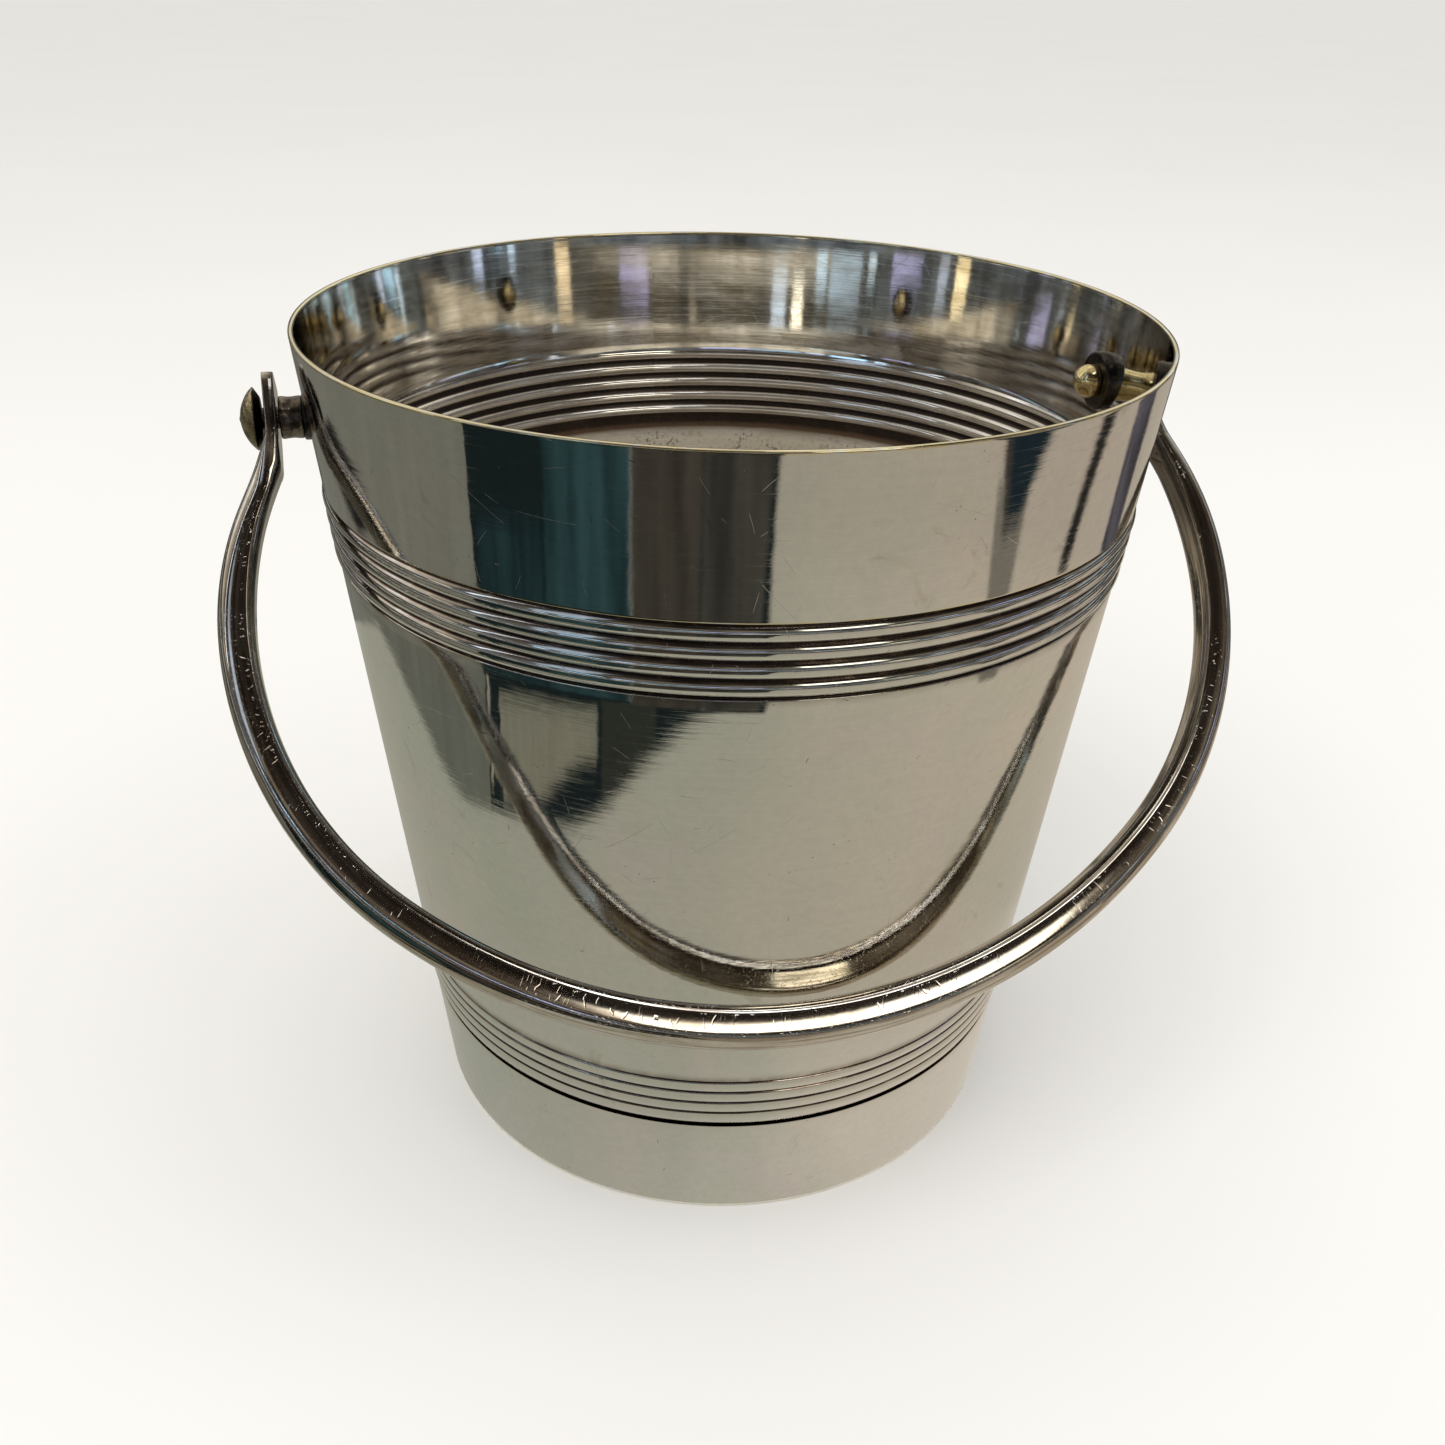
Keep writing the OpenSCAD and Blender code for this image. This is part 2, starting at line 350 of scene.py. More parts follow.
def lower_band(line):
    """Four flat bowed reeds with fine cut lines, the upper two cut deepest.
    Returns the height along the wall where the band ends."""
    half = LOWER_PITCH / 2
    for reed, depth in enumerate(CUT_DEPTHS):
        start = reed * LOWER_PITCH + CUT_W
        for k in range(1, 10):
            t = -1 + 2 * k / 10
            line.on_wall(SHELL_Z, LOWER_PROUD * (1 - t * t), start + half + t * (half - CUT_W))
        top = start + LOWER_PITCH
        line.on_wall(SHELL_Z, 0.0, top - CUT_W, 0.1, 0.3)
        line.on_wall(SHELL_Z, -0.75 * depth, top - CUT_W * 0.45, 0, 1)
        line.on_wall(SHELL_Z, -depth, top, 0, 1)
        line.on_wall(SHELL_Z, -0.75 * depth, top + CUT_W * 0.45, 0, 1)
        line.on_wall(SHELL_Z, 0.0, top + CUT_W, 0.2, 0.3)
    return 4 * LOWER_PITCH + 2 * CUT_W


def bucket_outline():
    """Up the outside, over the rim, down the inside and across the floor."""
    line = Outline()
    # the seam above the foot is painted dark: painted shade in the gap
    line.on_wall(SHELL_Z, -0.5, 0.0, 0, 1)
    line.on_wall(SHELL_Z, -0.15, 0.05, 0.3, 0.4)
    line.on_wall(SHELL_Z, 0.0, 0.2, 0.3, 0.1)
    lower_top = lower_band(line)
    lower_end = (SHELL_Z - UPPER_MID) * ALONG_WALL + lower_top
    upper_end = 2 * UPPER_PITCH + 0.59
    line.straight(UPPER_MID, 0.0, lower_end, -upper_end)
    outer_band(line)
    rim_s = (RIM_Z - UPPER_MID) * ALONG_WALL
    line.on_wall(UPPER_MID, 0.0, upper_end + 0.35)
    line.straight(UPPER_MID, 0.0, upper_end + 0.35, rim_s - 0.95)
    line.on_wall(UPPER_MID, 0.0, rim_s - 0.95)
    # rim: two soft edges with a narrow flat between them
    line.follow(arc((-0.42, rim_s - 0.46), 0.42, 0, 80, 5), 1, 0)
    line.inside = 0.5
    line.follow(arc((-WALL + 0.42, rim_s - 0.5), 0.42, 100, 180, 5), 1, 0)
    line.inside = 1.0
    inner_top = RIDGE_END + RIDGE_EASE
    line.on_wall(UPPER_MID, -WALL, rim_s - 1.0)
    line.straight(UPPER_MID, -WALL, rim_s - 1.0, inner_top)
    inner_band(line)
    # the round corner where the wall meets the floor
    corner = 6.0
    floor_z = SHELL_Z + FLOOR_T
    floor_s = (floor_z + corner - UPPER_MID) * ALONG_WALL
    line.straight(UPPER_MID, -WALL, -inner_top, floor_s)
    corner_r = wall_r(floor_z + corner) - WALL - corner
    for r, z in arc((corner_r, floor_z + corner), corner, -6, -90, 8):
        line.add((r, z), 0, 0.5)
    for k in range(1, 8):
        line.add((corner_r * (1 - k / 8), floor_z), 0, 0.2)
    line.add((0, floor_z), 0, 0.2)
    line.inside = 0.0
    line.add((0, SHELL_Z), 0, 0.4)
    for k in range(1, 8):
        line.add(((BASE_R - 2) * k / 8, SHELL_Z), 0, 0.4)
    return line


def make_bucket():
    line = bucket_outline()
    piece = spin("bucket_body", line.points, ROUND_STEPS, upright, line.marks, sharp=50)
    for middle in (-SHELL_HIGH.x, SHELL_HIGH.x):
        drill(piece, BORE_R, middle - 20, middle + 20, 50)
    return piece


def make_foot():
    """Plain skirt whose top edge turns in under the bucket."""
    line = Outline()
    line.add((BASE_R - WALL + 0.3, 0.0), 0.6, 0.2)
    line.add((BASE_R - 0.35, 0.0), 0.6, 0.2)
    line.add((BASE_R - 0.1, 0.1), 0.8, 0)
    line.add((wall_r(0.35), 0.35), 0.5, 0)
    for k in range(1, 12):
        z = blend(0.35, FOOT_Z - 0.4, k / 12)
        line.add((wall_r(z), z))
    line.add((wall_r(FOOT_Z - 0.4), FOOT_Z - 0.4), 0.1, 0)
    # the lip inside the seam is painted dark: painted shade in the gap
    line.add((wall_r(FOOT_Z) - 0.1, FOOT_Z - 0.1), 0.5, 0.2)
    line.add((wall_r(FOOT_Z) - 0.4, FOOT_Z), 0.2, 0.6)
    lip = wall_r(FOOT_Z) - 1.6
    line.add((lip, FOOT_Z), 0, 1)
    line.add((lip, SHELL_Z), 0, 1)
    line.add((lip - WALL, SHELL_Z), 0, 1)
    line.inside = 1.0
    line.add((lip - WALL, FOOT_Z - 1.2), 0, 0.8)
    for k in range(0, 10):
        z = blend(FOOT_Z - 3, 0.3, k / 9)
        line.add((wall_r(z) - WALL, z), 0, 0.4)
    return spin("foot_skirt", line.points, FOOT_STEPS, upright, line.marks, sharp=50)


# ---------------------------------------------------------------- handle

def station(crest, inward, centre, radius):
    """The crest point, and where the line inwards from it meets the circle
    that the handle's inner face follows, or the flat inner face of the ear."""
    away = crest - centre
    along = away.dot(inward)
    depth = -along - math.sqrt(along * along - away.length_squared + radius ** 2)
    if inward.y > 0:
        depth = min(depth, (EAR_X - EAR_T - crest.x) / inward.x)
    return crest, crest + inward * depth


def sweep_circle(radius, x, bottom):
    """The angle where a flank arc that starts at x meets the sweep across the
    bottom, and the depth of the sweep's centre and its radius."""
    turn = math.pi / 2 - 2 * math.atan((bottom - SIDE_D - radius) / (x - radius))
    sweep_r = radius + (x - radius) / math.cos(turn)
    return turn, bottom - sweep_r, sweep_r


def handle_half():
    """Stations from the bottom of the sweep to the tip of one ear, each the
    crest point and the inner point in the handle's plane."""
    stations = []
    turn, centre_d, sweep_r = sweep_circle(FLANK_R, SIDE_X, DROP)
    _, inner_d, inner_r = sweep_circle(FLANK_INNER_R, SIDE_X - BAIL_T, INNER_DROP)
    for k in range(SWEEP_STEPS):
        a = blend(math.pi / 2, turn, k / SWEEP_STEPS)
        out = Vector((math.cos(a), math.sin(a)))
        crest = Vector((0, centre_d)) + out * sweep_r
        stations.append(station(crest, -out, Vector((0, inner_d)), inner_r))
    flank_inner = Vector((SIDE_X - BAIL_T - FLANK_INNER_R, SIDE_D))
    for k in range(FLANK_STEPS):
        a = blend(turn, 0, k / FLANK_STEPS)
        out = Vector((math.cos(a), math.sin(a)))
        crest = Vector((SIDE_X - FLANK_R, SIDE_D)) + out * FLANK_R
        stations.append(station(crest, -out, flank_inner, FLANK_INNER_R))
    leg_inner = Vector((SIDE_X - BAIL_T - LEG_INNER_R, SIDE_D))
    for k in range(LEG_STEPS + 1):
        a = math.radians(LEG_BEND * k / LEG_STEPS)
        inward = Vector((-math.cos(a), math.sin(a)))
        crest = Vector((SIDE_X - LEG_R, SIDE_D)) - inward * LEG_R
        stations.append(station(crest, inward, leg_inner, LEG_INNER_R))
    # the straight end of the leg, then the flat ear
    end = stations[-1][0]
    way = Vector((-math.sin(a), -math.cos(a)))
    run = (EAR_X - end.x) / way.x
    for k in range(1, 15):
        stations.append(station(end + way * (run - 0.9) * k / 14, inward, leg_inner, LEG_INNER_R))
    ear_d = end.y + way.y * run
    drops = [ear_d - 1.1, ear_d - 2.2, 1.2, 0.0, -2.0, -4.0]
    for k in range(11):
        drops.append(EAR_CORNER - EAR_TOP - (EAR_CORNER - 0.02) * math.sin(math.radians(9 * k)))
    for d in drops:
        stations.append((Vector((EAR_X, d)), Vector((EAR_X - EAR_T, d))))
    return stations


def half_width(d):
    """Half the width across the swing plane: squared ear, then a taper."""
    past = EAR_CORNER - EAR_TOP - d
    if past > 0:
        return EAR_HALF_W - EAR_CORNER + math.sqrt(max(0.0, EAR_CORNER ** 2 - past * past))
    return blend(EAR_HALF_W, BAIL_HALF_W, ease((d - 1) / 18))


def bar_section(depth, half_w, d):
    """Points (y, q) round the section: q is 0 on the inner flat and depth on
    the crown. It goes from a D-shaped bar to a flat ear with eased edges."""
    ear = ease(1 - (d - 3) / 15)
    crown = min(depth * 0.94, blend(BAIL_HALF_W * 0.98, 0.55, ear))
    power = blend(2.0, 4.5, ear)
    corner = min(blend(2.35, 0.45, ear), half_w * 0.6, (depth - crown) * 0.95)
    points = []
    for k in range(25):
        angle = math.pi * k / 24
        c, s = math.cos(angle), math.sin(angle)
        y = half_w * math.copysign(abs(c) ** (2 / power), c)
        points.append((y, depth - crown + crown * abs(s) ** (2 / power)))
    for side, start in ((-1, 180), (1, 270)):
        centre = (side * (half_w - corner), corner)
        points += arc(centre, corner, start, start + 90, 5)
        if side == -1:
            inner = half_w - corner
            points += [(-inner + 2 * inner * k / 6, 0.0) for k in range(1, 6)]
    return points


def in_handle(x, y, d):
    """From the handle's plane, with y across it, to the resting place."""
    c, s = math.cos(REST_TILT), math.sin(REST_TILT)
    return Vector((x, y * c - d * s, PIVOT_Z - y * s - d * c))


def make_handle():
    half = handle_half()
    stations = [(Vector((-a.x, a.y)), Vector((-b.x, b.y))) for a, b in reversed(half[1:])] + half
    points, rings, lengths, grime_and_shade = [], [], [0.0], []
    for index, (crest, inner) in enumerate(stations):
        depth = (crest - inner).length
        out = (crest - inner) / depth
        section = bar_section(depth, half_width(inner.y), inner.y)
        ring = []
        for y, q in section:
            spot = inner + out * q
            # painted shade: the inner flat, which faces the bucket, is darkened on the upper legs and ears,
            # and so are the ears' outer faces
            ear = ease((12 - inner.y) / 6)
            flat = max(ease(1.4 - q), ear * ease((q - depth + 0.35) / 0.3))
            grime_and_shade.append(flat * ease((58 - inner.y) / 25))
            ring.append(len(points))
            points.append(in_handle(spot.x, y, spot.y))
        rings.append(ring)
        if index:
            lengths.append(lengths[-1] + (crest - stations[index - 1][0]).length)
    count = len(rings[0])
    around = [BAIL_GIRTH * k / count for k in range(count + 1)]
    faces, uvs = [], []
    for i in range(len(rings) - 1):
        for k in range(count):
            n = (k + 1) % count
            faces.append((rings[i][k], rings[i + 1][k], rings[i + 1][n], rings[i][n]))
            uvs += [(lengths[i], around[k]), (lengths[i + 1], around[k])]
            uvs += [(lengths[i + 1], around[k + 1]), (lengths[i], around[k + 1])]
    faces.append(tuple(rings[0]))
    faces.append(tuple(reversed(rings[-1])))
    uvs += [(0.0, 0.0)] * (2 * count)
    piece = make_piece("swing_handle", points, faces, {"grime_and_shade": grime_and_shade}, uvs, 40)
    for side in (-1, 1):
        drill(piece, BORE_R, side * (EAR_X + 3), side * (EAR_X - 6), 40)
    return piece


# ---------------------------------------------------------------- pivots

def lumpy(amount, size, seed):
    """Moves the points of a hand-finished head a little in and out."""
    def shape(local, index):
        if local.x == 0 and local.y == 0:
            return local
        offset = noise.noise(local / size + Vector((seed, seed * 2.7, 0)))
        radial = Vector((local.x, local.y, 0)).normalized()
        return local + radial * min(0, offset * amount - amount * 0.5)
    return shape


def make_pin(side, name):
    """Mushroom head whose conical underside is painted dark as shade, and a peened tip,
    on a shank that runs to the nut."""
    inner_x = NUT_HIGH.x - 2.6
    seat = PIN_HIGH.x - HEAD_H - inner_x
    edge = 0.55
    cap_h = HEAD_H - edge - 0.15
    cap_w = HEAD_R - 0.1
    cap_r = (cap_w ** 2 + cap_h ** 2) / (2 * cap_h)
    underside = [(PIN_R, seat - 1.25), (PIN_R + 0.1, seat - 1.2), (4.9, seat - 1.05)]
    underside += [(HEAD_R - 0.5, seat - 0.05), (HEAD_R - 0.1, seat + 0.2)]
    outline = [(0, 0), (PIN_R - 0.3, 0), (PIN_R, 0.3)] + underside
    # the points so far, the shank and the underside, are painted dark: painted shade
    dark = len(outline)
    outline.append((HEAD_R, seat + 0.4))
    sweep = math.degrees(math.asin(cap_w / cap_r))
    for k in range(15):
        a = math.radians(sweep * (1 - k / 15))
        outline.append((cap_r * math.sin(a), seat + edge + cap_h - cap_r + cap_r * math.cos(a)))
    top = seat + edge + cap_h
    outline += [(0.85, top - 0.02), (0.6, top + 0.1), (0.3, top + 0.15), (0, top + 0.15)]
    shape = lumpy(0.22, 2.6, 3 if side > 0 else 8)
    grime_and_shade = [1.0 if k < dark else 0.0 for k in range(len(outline))]
    return spin(name, outline, 72, on_pivot(inner_x, side), {"grime_and_shade": grime_and_shade}, shape, False, 60)


def make_collar(side, name):
    """Turned spacer with eased ends and a shallow waist."""
    length = COLLAR_HIGH.x - COLLAR_LOW.x
    outline = [(BORE_R, 0), (COLLAR_R - 0.4, 0), (COLLAR_R - 0.1, 0.1), (COLLAR_R, 0.4)]
    for k in range(1, 8):
        t = k / 8
        outline.append((COLLAR_R - 0.18 * math.sin(math.pi * t) ** 2, blend(0.4, length - 0.4, t)))
    outline += [(COLLAR_R, length - 0.4), (COLLAR_R - 0.1, length - 0.1)]
    outline += [(COLLAR_R - 0.4, length), (BORE_R, length)]
    return spin(name, outline, 64, on_pivot(COLLAR_LOW.x, side), None, None, True, 50)


def make_washer(side, name, low, high, inner):
    """Saddle washer between two corners of its box. One face is flat with an
    eased edge, and the other follows the sloping wall."""
    radius = (high.z - low.z) / 2
    rows = [BORE_R, 4.2, radius - 0.8, radius - 0.25, radius]
    edge_drop = [0.0, 0.0, 0.0, 0.05, 0.3]
    outline = [(r, 1.0) for r in rows]
    outline += [(r, 0.0) for r in reversed(rows)]
    wall_gap = -WALL - 0.02 if inner else 0.02

    def shape(local, index):
        if index < len(rows):
            x = low.x + edge_drop[index] if inner else high.x - edge_drop[index]
        else:
            edge = wall_r(PIVOT_Z + local.x) + wall_gap
            x = math.sqrt(edge * edge - local.y ** 2)
        return Vector((local.x, local.y, x))

    return spin(name, outline, 72, on_pivot(0, side), None, shape, True, 50)


def make_nut(side, name):
    """Domed nut with a short plain skirt."""
    length = NUT_HIGH.x - NUT_LOW.x
    outline = [(0, length - 2.5), (PIN_R + 0.02, length - 2.5), (PIN_R + 0.02, length)]
    outline += [(NUT_R - 0.35, length), (NUT_R - 0.08, length - 0.1), (NUT_R, length - 0.35)]
    outline += arc((0, NUT_R), NUT_R, 0, -90, 16)[:-1]
    outline.append((0, 0))
    return spin(name, outline, 64, on_pivot(NUT_LOW.x, side), None, None, False, 60)


# ---------------------------------------------------------------- materials

class Paint:
    """Short names for the nodes of one material or world."""

    def __init__(self, name, world=False):
        self.owner = bpy.data.worlds.new(name) if world else bpy.data.materials.new(name)
        self.owner.use_nodes = True
        self.tree = self.owner.node_tree
        self.tree.nodes.clear()

    def node(self, kind, inputs=None, **settings):
        made = self.tree.nodes.new(kind)
        for key, value in settings.items():
            setattr(made, key, value)
        for key, value in (inputs or {}).items():
            self.feed(made.inputs[key], value)
        return made

    def feed(self, socket, value):
        if isinstance(value, bpy.types.NodeSocket):
            self.tree.links.new(value, socket)
        elif socket.type == "RGBA" and len(value) == 3:
            socket.default_value = (*value, 1.0)
        else:
            socket.default_value = value

    def maths(self, operation, *values, clamp=False):
        made = self.node("ShaderNodeMath", operation=operation, use_clamp=clamp)
        for socket, value in zip(made.inputs, values):
            self.feed(socket, value)
        return made.outputs[0]

    def add(self, *values):
        total = values[0]
        for value in values[1:]:
            total = self.maths("ADD", total, value)
        return total

    def times(self, *values):
        total = values[0]
        for value in values[1:]:
            total = self.maths("MULTIPLY", total, value)
        return total

    def less(self, a, b):
        return self.maths("SUBTRACT", a, b)

    def reach(self, x, y):
        return self.maths("SQRT", self.add(self.times(x, x), self.times(y, y)))

    def split(self, vector):
        return self.node("ShaderNodeSeparateXYZ", {0: vector}).outputs

    def scaled(self, colour, tone):
        return self.node("ShaderNodeVectorMath", {0: colour, "Scale": tone}, operation="SCALE").outputs[0]

    def finish(self, shader):
        self.node("ShaderNodeOutputMaterial", {"Surface": shader.outputs[0]})
        return self.owner

    def span(self, value, from_low, from_high, to_low=0.0, to_high=1.0):
        """Smoothly turns one range of values into another."""
        made = self.node("ShaderNodeMapRange", interpolation_type="SMOOTHSTEP")
        order = (value, from_low, from_high, to_low, to_high)
        for socket, item in zip(made.inputs, order):
            self.feed(socket, item)
        return made.outputs[0]

    def mix(self, share, a, b):
        made = self.node("ShaderNodeMix", data_type="RGBA")
        self.feed(made.inputs[0], share)
        self.feed(made.inputs[6], a)
        self.feed(made.inputs[7], b)
        return made.outputs[2]

    def place(self, scale=(1, 1, 1), turn=(0, 0, 0), uv=None, shift=(0, 0, 0)):
        """Object or UV coordinates in millimetres, turned and then scaled."""
        if uv:
            source = self.node("ShaderNodeUVMap", uv_map=uv).outputs[0]
        else:
            source = self.node("ShaderNodeTexCoord").outputs["Object"]
        if any(turn):
            source = self.node("ShaderNodeVectorRotate", {"Vector": source, "Rotation": turn},
                               rotation_type="EULER_XYZ").outputs[0]
        made = self.node("ShaderNodeVectorMath", {0: source}, operation="MULTIPLY_ADD")
        made.inputs[1].default_value = [c / MM for c in scale]
        made.inputs[2].default_value = shift
        return made.outputs[0]

    def noise(self, vector, scale=1.0, detail=2.0, rough=0.5, bend=0.0):
        inputs = {"Vector": vector, "Scale": scale, "Detail": detail, "Roughness": rough}
        inputs["Distortion"] = bend
        return self.node("ShaderNodeTexNoise", inputs).outputs[0]

    def cells(self, vector, scale=1.0):
        return self.node("ShaderNodeTexVoronoi", {"Vector": vector, "Scale": scale}).outputs[0]

    def mark(self, name):
        return self.node("ShaderNodeAttribute", attribute_name=name).outputs["Fac"]

    def strokes(self, vector, cell, length, width, tilt, spread, keep=0.5):
        """Straight scratches in a flat UV space, one or none for each cell of
        a Voronoi pattern. tilt and spread are angles in radians."""
        inputs = {"Vector": vector, "Scale": 1.0 / cell}
        cells = self.node("ShaderNodeTexVoronoi", inputs, voronoi_dimensions="2D")
        chance = self.split(cells.outputs["Color"])
        away = self.node("ShaderNodeVectorMath", {0: vector, 1: cells.outputs["Position"]},
                         operation="SUBTRACT")
        angle = self.add(self.times(self.less(chance[0], 0.5), spread), tilt)
        turned = self.node("ShaderNodeVectorRotate", {"Vector": away.outputs[0], "Angle": angle},
                           rotation_type="Z_AXIS").outputs[0]
        x, y = self.split(turned)[:2]
        bow = self.times(x, x, 0.25 / length, self.less(chance[2], 0.5))
        line = self.span(self.maths("ABSOLUTE", self.add(y, bow)), width, width * 0.25)
        ends = self.span(self.maths("ABSOLUTE", x), length * 0.5, length * 0.3)
        return self.times(line, ends, self.span(chance[1], 1 - keep, 1 - keep + 0.05))

    def metal(self, colour, roughness, height, anisotropic=0.0, rotation=0.0, metallic=1.0):
        bump = self.node("ShaderNodeBump", {"Height": height, "Distance": MM})
        inputs = {"Base Color": colour, "Metallic": metallic, "Roughness": roughness,
                  "Anisotropic": anisotropic, "Anisotropic Rotation": rotation,
                  "Normal": bump.outputs[0]}
        return self.finish(self.node("ShaderNodeBsdfPrincipled", inputs))


SILVER_GREEN = (0.735, 0.74, 0.68)
SILVER_WARM = (0.79, 0.755, 0.70)
SILVER_PINK = (0.79, 0.74, 0.715)
INSIDE_WARM = (0.87, 0.84, 0.785)
# the next two colours are tarnish in the hollows, and also painted shade where the darkening mark lies in
# the seam, under the inner ridges, on the reeds' upper sides and on the pins' undersides
TARNISH_AND_SHADE = (0.20, 0.135, 0.095)
HOLLOW_DARK_AND_SHADE = (0.045, 0.035, 0.03)
PIT_BLACK = (0.03, 0.022, 0.02)
NICK_BROWN = (0.10, 0.08, 0.06)
STAIN_BROWN = (0.42, 0.37, 0.26)
DULL_LOW = (0.46, 0.40, 0.30)
DULL_HIGH = (0.50, 0.44, 0.34)
SPOT_BLACK = (0.03, 0.022, 0.018)
BRASS = (0.80, 0.70, 0.45)
LOW_EDGE = (151.0, 147.0)  # heights inside between which the dull lower wall sets in
FILM_EDGE = (174.0, 171.0)  # and between which a thin film does


def silver(name):
    """Polished plate, spun and rubbed round and round: soft blotches, fine
    rings, straight scratches, pits, brown in the grooves, brass at the edges."""
    m = Paint(name)
    spot = m.place()
    cloud = m.noise(spot, 0.016, 4.0, 0.55, 0.6)
    patch = m.noise(m.place(shift=(40, 11, 5)), 0.035, 4.0, 0.6, 0.8)
    fine = m.noise(spot, 0.5, 5.0, 0.65)
    rings = m.noise(m.place((0.02, 1.7, 1.0), uv="along"), 1.0, 4.0, 0.7)
    hairs = m.noise(m.place((0.045, 4.5, 1.0), uv="along", shift=(7, 3, 0)), 1.0, 2.0, 0.6)
    broad_rings = m.noise(m.place((0.006, 0.25, 1.0), uv="along"), 1.0, 3.0, 0.5)
    flat = m.place(uv="along")
    scratch = m.maths("MAXIMUM", m.strokes(flat, 19.0, 17.0, 0.05, 0.3, 2.4, 0.4),
                      m.strokes(flat, 8.0, 5.0, 0.05, 0.9, 3.0, 0.35))
    nicks = m.strokes(flat, 14.0, 1.6, 0.11, 0.6, 3.0, 0.3)
    pits = m.times(m.span(m.cells(spot, 0.55), 0.10, 0.04),
                   m.span(m.noise(spot, 0.06, 3.0), 0.6, 0.66))
    brushed = m.times(m.span(hairs, 0.6, 0.72), m.span(patch, 0.3, 0.6, 0.45, 1.0))
    wear = m.mark("wear")
    grime_and_shade = m.mark("grime_and_shade")
    inside = m.mark("inside")
    scratch = m.times(scratch, m.less(1.0, m.times(inside, 0.8)))

    base = m.mix(m.span(cloud, 0.4, 0.62), SILVER_GREEN, SILVER_WARM)
    base = m.mix(m.times(m.span(patch, 0.5, 0.7), 0.7), base, SILVER_PINK)
    tone = m.add(m.times(m.less(fine, 0.5), 0.2), 1.0)
    tone = m.add(tone, m.times(m.less(rings, 0.5), m.add(0.12, m.times(inside, 0.5))))
    # the inside is warmer and duller, with black pitting low down
    base = m.mix(m.times(inside, 0.9), base, INSIDE_WARM)
    base = m.scaled(base, tone)
    height = m.split(spot)[2]
    low_inside = m.times(inside, m.span(height, *LOW_EDGE))
    black = m.times(m.span(m.noise(spot, 0.8, 5.0, 0.8), 0.53, 0.60),
                    m.span(m.noise(spot, 0.06, 2.0), 0.42, 0.58))
    base = m.mix(m.times(low_inside, 0.85), base, DULL_LOW)
    base = m.mix(m.times(low_inside, black, 0.9), base, SPOT_BLACK)
    smears = m.noise(m.place((0.03, 0.12, 1.0), uv="along", shift=(3, 9, 0)), 1.0, 4.0, 0.65)
    base = m.mix(m.times(m.span(smears, 0.45, 0.65), inside, 0.55), base, DULL_HIGH)
    stain = m.times(m.span(m.noise(spot, 0.05, 4.0, 0.7, 1.0), 0.62, 0.74), 0.35)
    base = m.mix(stain, base, STAIN_BROWN)
    # tarnish in the grooves, and painted shade in the seam, under the inner ridges and on the reeds' upper
    # sides; brass where the plate has worn through at edges
    thin = m.add(m.times(inside, 0.35), 0.55)
    grime_and_shade_here = m.times(grime_and_shade, m.span(m.noise(spot, 0.25, 4.0, 0.6), 0.2, 0.6, thin, 1.0))
    base = m.mix(m.span(grime_and_shade_here, 0.05, 0.45), base, TARNISH_AND_SHADE)
    base = m.mix(m.span(grime_and_shade_here, 0.5, 0.95), base, HOLLOW_DARK_AND_SHADE)
    wear_here = m.times(wear, m.span(m.noise(spot, 0.18, 4.0, 0.7), 0.32, 0.6, 0.3, 1.0))
    base = m.mix(m.span(wear_here, 0.25, 0.8), base, BRASS)
    base = m.mix(m.times(pits, 0.9), base, PIT_BLACK)
    base = m.mix(m.times(nicks, 0.75), base, NICK_BROWN)

    rough = m.add(0.035, m.times(m.span(rings, 0.5, 0.8), 0.09), m.times(m.span(fine, 0.5, 0.8), 0.05))
    rough = m.add(rough, m.times(brushed, 0.20), m.times(scratch, 0.35))
    rough = m.add(rough, m.times(grime_and_shade_here, 0.25), m.times(low_inside, 0.2))
    # the surface waves, weaker inside
    calm = m.less(1.0, m.times(inside, 0.62))
    lift = m.add(m.times(rings, 0.0075, calm), m.times(broad_rings, 0.02, calm), m.times(cloud, 0.16, calm))
    lift = m.add(lift, m.times(hairs, 0.0012), m.times(fine, 0.002, calm))
    lift = m.add(lift, m.times(scratch, -0.006), m.times(nicks, -0.02), m.times(pits, -0.03))
    film = m.times(inside, m.span(height, *FILM_EDGE), 0.14)
    dull = m.less(1.0, m.maths("MAXIMUM", film, m.times(low_inside, 0.85)))
    return m.metal(base, rough, lift, 0.35, 0.25, dull)


